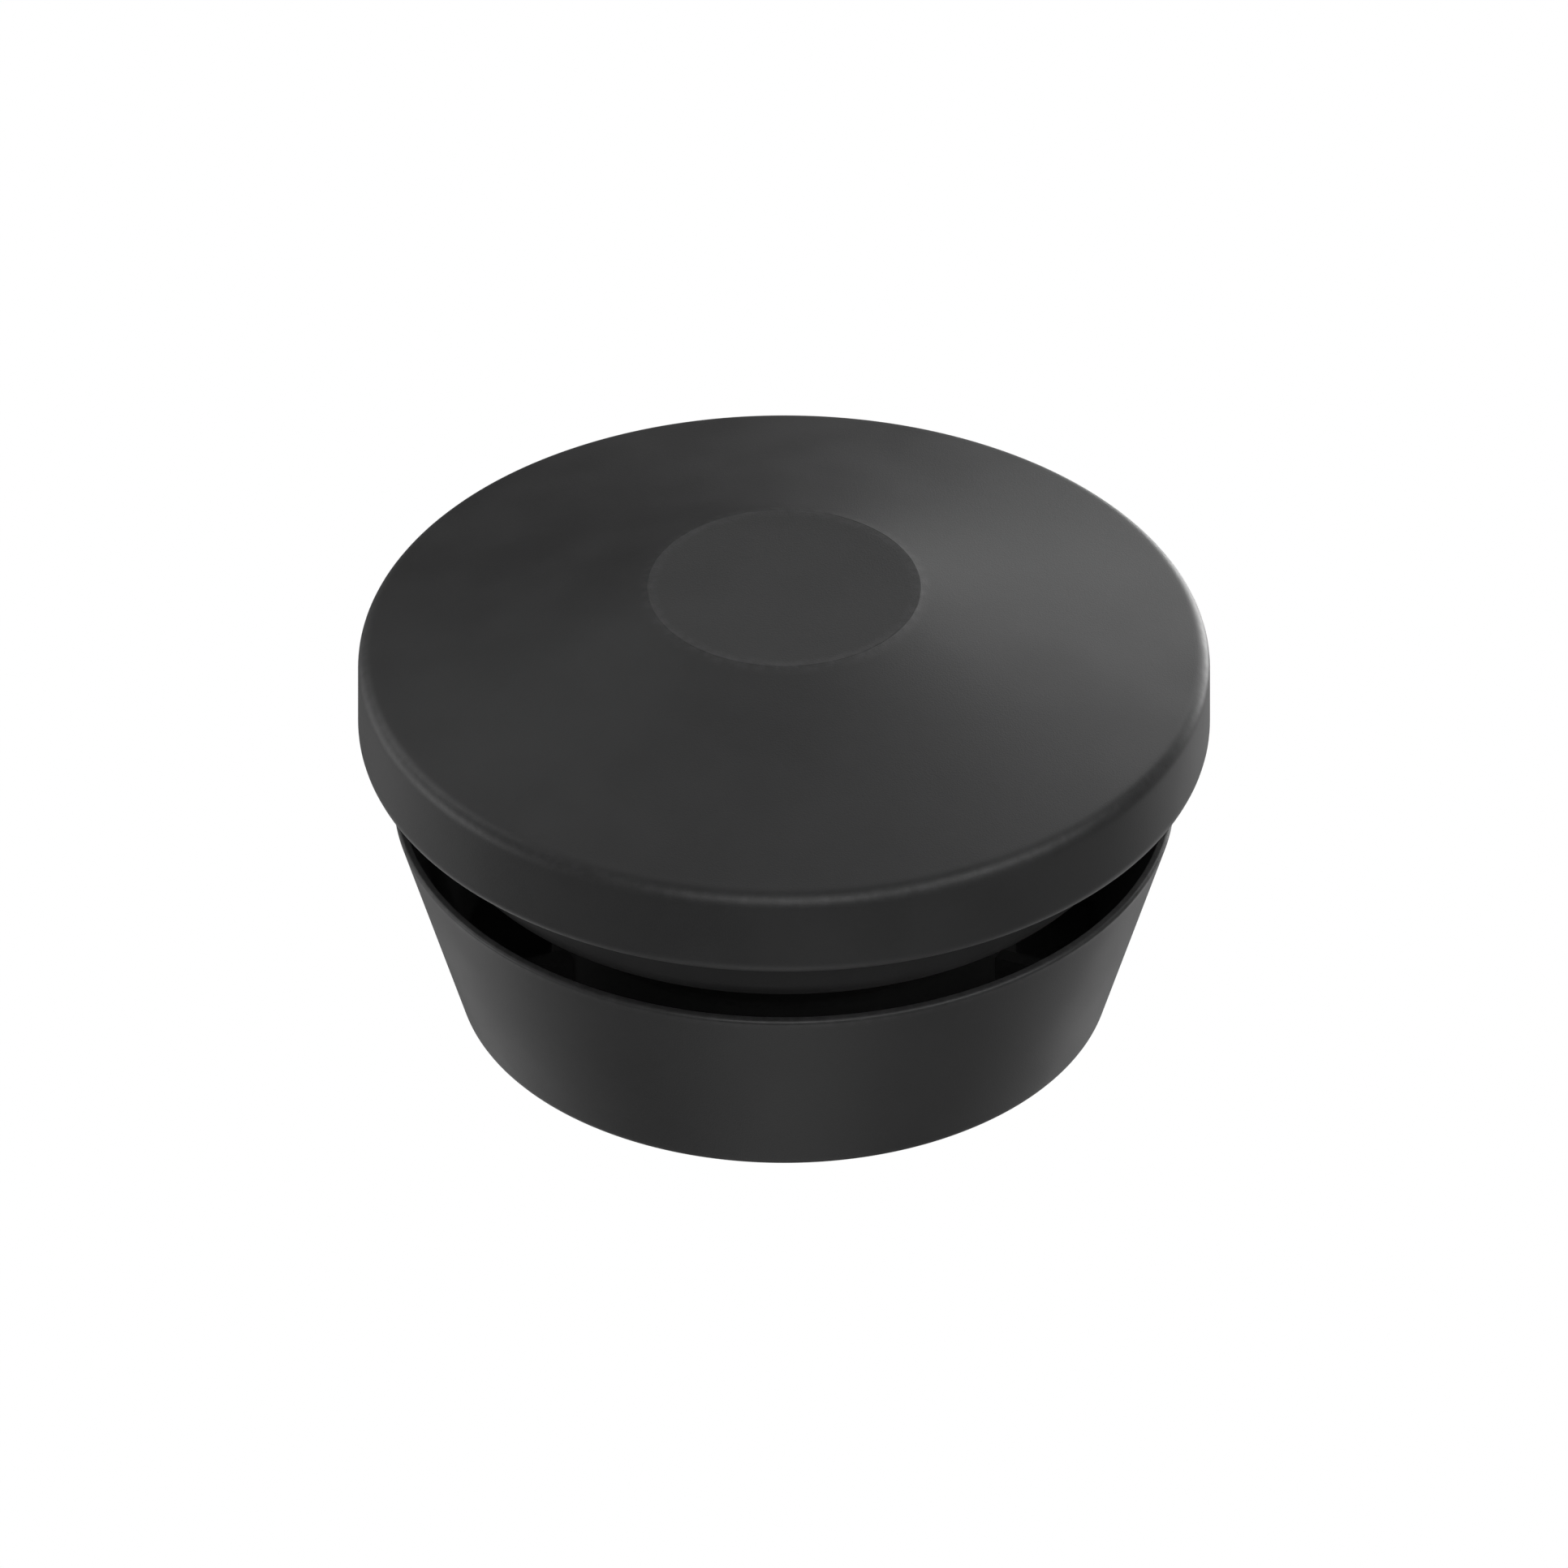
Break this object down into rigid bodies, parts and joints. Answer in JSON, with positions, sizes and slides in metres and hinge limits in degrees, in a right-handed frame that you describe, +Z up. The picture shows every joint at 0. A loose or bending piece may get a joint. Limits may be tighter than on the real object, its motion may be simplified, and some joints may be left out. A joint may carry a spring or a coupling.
{
  "type": "desk grommet",
  "caption": "Closed round desk grommet: a conical cap and collar over a desk hole, clamped from below by a tapered cup on a centre bolt with a thumb nut and release spring.",
  "frame": {"origin": "middle of the cup's foot, on the plane it stands on", "axes": "+Z up along the centre bolt, from the cup's foot to the cap's disc; the outside is round about Z, and the two guide posts lie on the X axis"},
  "size_m": [0.072, 0.072, 0.0405],
  "materials": {
    "cap_plastic": "satin black, finely textured",
    "disc_plastic": "satin black, smooth",
    "collar_plastic": "satin black, finely textured",
    "cup_plastic": "satin black, finely textured",
    "nut_plastic": "satin black",
    "foam": "matt closed-cell foam",
    "zinc_steel": "bright zinc plating",
    "spring_steel": "drawn wire, lightly oiled",
    "brass": "turned brass"
  },
  "bodies": {
    "cap": {"cap_shell": "cap_plastic", "centre_disc": "disc_plastic", "locating_collar": "collar_plastic", "seal_ring": "foam", "collar_screw_1": "zinc_steel", "collar_screw_2": "zinc_steel", "collar_screw_3": "zinc_steel", "centre_bolt": "zinc_steel", "spring_washer": "zinc_steel", "lock_nut": "zinc_steel", "release_spring": "spring_steel", "end_clip": "spring_steel"},
    "cup": {"clamp_cup": "cup_plastic", "nut_washer": "zinc_steel"},
    "nut": {"thumb_nut": "nut_plastic", "nut_insert": "brass"}
  },
  "joints": [
    {"name": "cup_slide", "type": "slide", "parent": "cap", "child": "cup", "axis": [0, 0, 1], "range_m": [0, 0.0055], "stiffness_N_per_m": 400, "springref_m": -0.0068, "deforming": ["release_spring"]},
    {"name": "nut_turn", "type": "hinge", "parent": "cup", "child": "nut", "pos_m": [0, 0, 0.0055], "axis": [0, 0, 1], "range_deg": [0, 1980]}
  ],
  "couplings": [
    {"joint": "nut_turn", "follows": "cup_slide", "rad_per_m": 6283.2}
  ]
}
